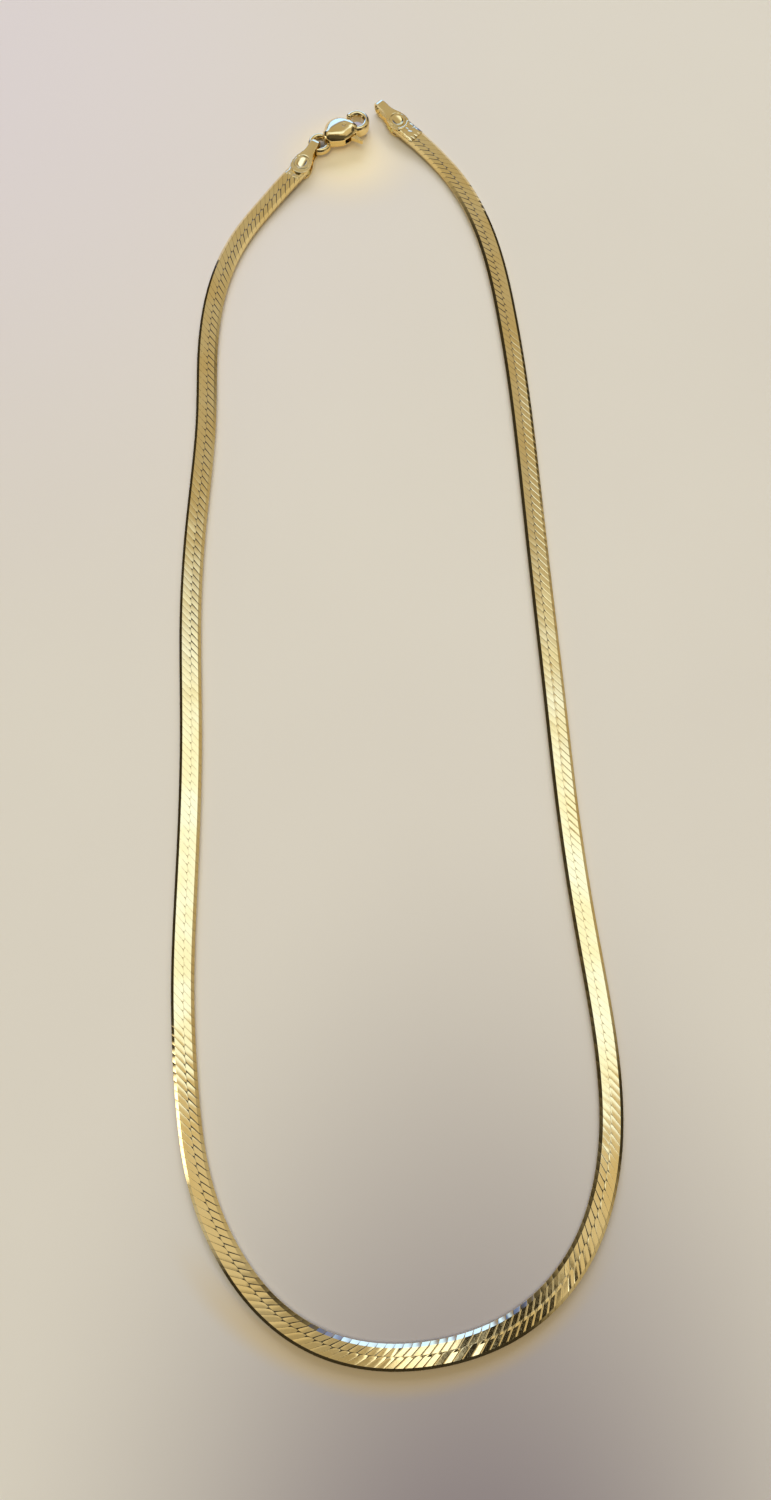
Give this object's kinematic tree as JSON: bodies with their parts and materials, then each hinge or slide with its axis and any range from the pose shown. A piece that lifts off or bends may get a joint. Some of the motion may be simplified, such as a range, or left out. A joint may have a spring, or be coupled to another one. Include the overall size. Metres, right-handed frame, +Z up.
{
  "type": "herringbone chain necklace",
  "caption": "Flat woven herringbone neck chain in pale yellow gold, laid open, with fold-over end tips and a small lobster clasp.",
  "frame": {"origin": "on the surface that the chain lies on, under the middle of its bounding box", "axes": "+Y from the bottom of the loop towards the open ends, +X towards the side of the catch end, +Z up, away from the surface"},
  "size_m": [0.0662, 0.207, 0.0032],
  "materials": {
    "band_gold": "polished pale yellow gold, woven from flat-topped links",
    "tip_gold": "polished pale yellow gold sheet",
    "clasp_gold": "polished pale yellow gold casting"
  },
  "bodies": {
    "necklace": {"chain": "band_gold", "clasp_tip": "tip_gold", "catch_tip": "tip_gold", "clasp_body": "clasp_gold", "clasp_pin": "clasp_gold"},
    "lever": {"clasp_lever": "clasp_gold"}
  },
  "joints": [
    {"name": "lever_hinge", "type": "hinge", "parent": "necklace", "child": "lever", "pos_m": [-0.00782, 0.09675, 0.0016], "axis": [0, 0, -1], "range_deg": [0, 25], "stiffness_Nm_per_rad": 0.006, "springref_deg": -20.05}
  ]
}
